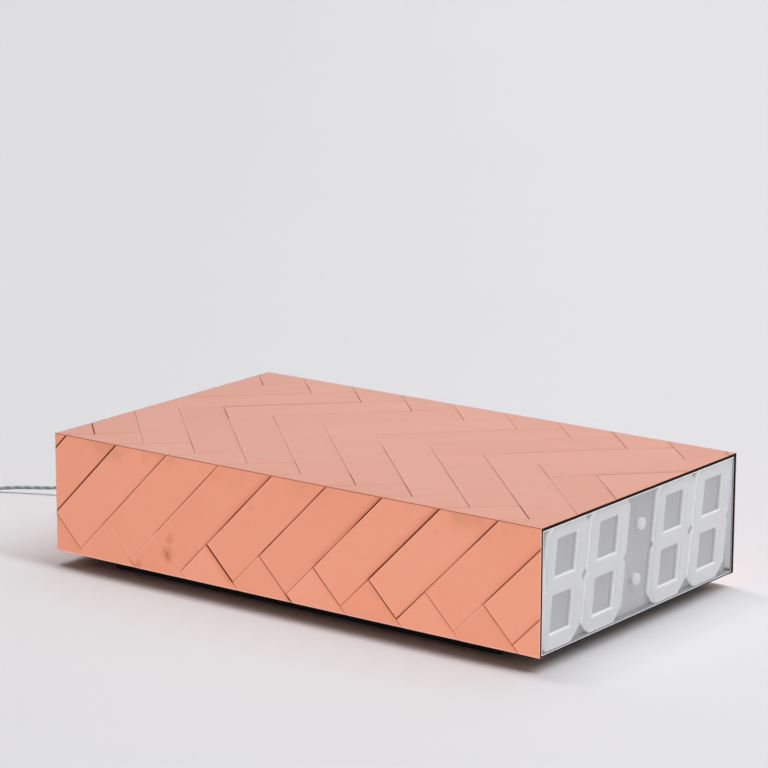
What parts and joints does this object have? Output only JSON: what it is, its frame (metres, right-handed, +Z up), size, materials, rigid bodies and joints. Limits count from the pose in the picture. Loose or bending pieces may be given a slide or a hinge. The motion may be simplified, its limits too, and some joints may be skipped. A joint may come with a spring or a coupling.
{
  "type": "floor clock",
  "caption": "Low box-shaped digital floor clock clad in folded copper herringbone shingles, with slanted white segment digits behind a clear end pane, a recessed plinth and a textile cord.",
  "frame": {"origin": "on the floor, under the middle of the clad box", "axes": "+Z up, the display faces -Y, the rear with cord and setting buttons faces +Y, +X to the right seen from the display"},
  "size_m": [0.585, 1.5791, 0.233],
  "materials": {
    "plywood": "raw birch plywood",
    "copper": "brushed satin copper sheet",
    "black_plinth": "matt black paint",
    "black_rubber": "matt",
    "grey_panel": "satin grey",
    "grey_rim": "satin grey",
    "clear_pane": "clear, ground bevel",
    "white_digit": "opal white",
    "circuit_board": "solder resist",
    "supply_case": "brushed",
    "metal_post": "bright",
    "black_plastic": "moulded black",
    "wire": "sleeved",
    "cord_textile": "braided textile sleeve in two colours",
    "plug_metal": "nickel plated"
  },
  "bodies": {
    "case": {"top_board": "plywood", "side_board_left": "plywood", "side_board_right": "plywood", "rear_board": "plywood", "display_bulkhead": "plywood", "centre_rib": "plywood", "base_battens": "plywood", "shingles_near_lower": "copper", "shingles_near_fold": "copper", "shingles_top_near": "copper", "shingles_top_far": "copper", "shingles_far_fold": "copper", "shingles_far_lower": "copper", "plinth_side_rails": "black_plinth", "plinth_end_rails": "black_plinth", "base_board": "black_plinth", "foot_pads": "black_rubber", "pane_gasket": "black_rubber", "display_panel": "grey_panel", "display_rim": "grey_rim", "front_pane": "clear_pane", "digit_1": "white_digit", "digit_2": "white_digit", "digit_3": "white_digit", "digit_4": "white_digit", "colon_dots": "white_digit", "digit_board_1": "circuit_board", "digit_board_2": "circuit_board", "digit_board_3": "circuit_board", "digit_board_4": "circuit_board", "colon_boards": "circuit_board", "control_board": "circuit_board", "button_board": "circuit_board", "power_supply": "supply_case", "board_standoffs": "metal_post", "button_standoffs": "metal_post", "control_parts": "black_plastic", "display_header": "black_plastic", "button_guides": "black_plastic", "button_switches": "black_plastic", "cord_gland": "black_plastic", "gland_nut": "black_plastic", "coil_tie": "black_plastic", "plug_body": "black_plastic", "display_loom": "wire", "supply_lead": "wire", "button_loom": "wire", "mains_lead": "wire", "cord": "cord_textile", "cord_coil": "cord_textile", "cord_tail": "cord_textile", "plug_pins": "plug_metal"},
    "set_button": {"set_button": "black_plastic"},
    "hour_button": {"hour_button": "black_plastic"},
    "minute_button": {"minute_button": "black_plastic"}
  },
  "joints": [
    {"name": "set_press", "type": "slide", "parent": "case", "child": "set_button", "axis": [0, -1, 0], "range_m": [0, 0.0015], "stiffness_N_per_m": 600},
    {"name": "hour_press", "type": "slide", "parent": "case", "child": "hour_button", "axis": [0, -1, 0], "range_m": [0, 0.0015], "stiffness_N_per_m": 600},
    {"name": "minute_press", "type": "slide", "parent": "case", "child": "minute_button", "axis": [0, -1, 0], "range_m": [0, 0.0015], "stiffness_N_per_m": 600}
  ]
}
